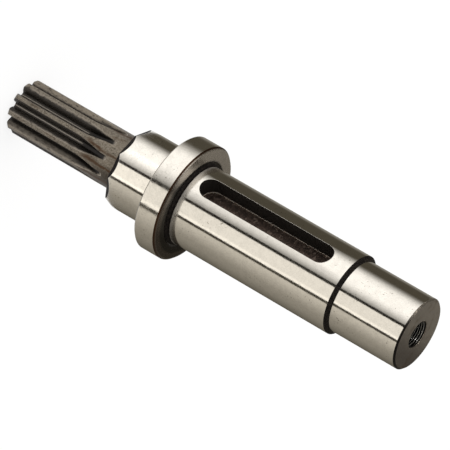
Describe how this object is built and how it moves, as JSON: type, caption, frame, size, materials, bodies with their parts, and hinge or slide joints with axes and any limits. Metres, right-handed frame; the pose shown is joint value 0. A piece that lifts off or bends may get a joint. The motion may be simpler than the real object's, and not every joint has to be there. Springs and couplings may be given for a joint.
{
  "type": "pinion shaft",
  "caption": "Ground steel pinion shaft in one piece: hobbed pinion, bearing seat, flange, keyed journal and a stepped end with a tapped hole.",
  "frame": {"origin": "centre of the pinion's end face, on which the shaft stands", "axes": "+Z along the shaft from the pinion to the tapped end, -Y out of the keyway"},
  "size_m": [0.051, 0.051, 0.1988],
  "materials": {
    "ground_steel": "ground, with dark mill scale and rust in the unground corners"
  },
  "bodies": {
    "root": {"pinion_shaft": "ground_steel"}
  },
  "joints": []
}
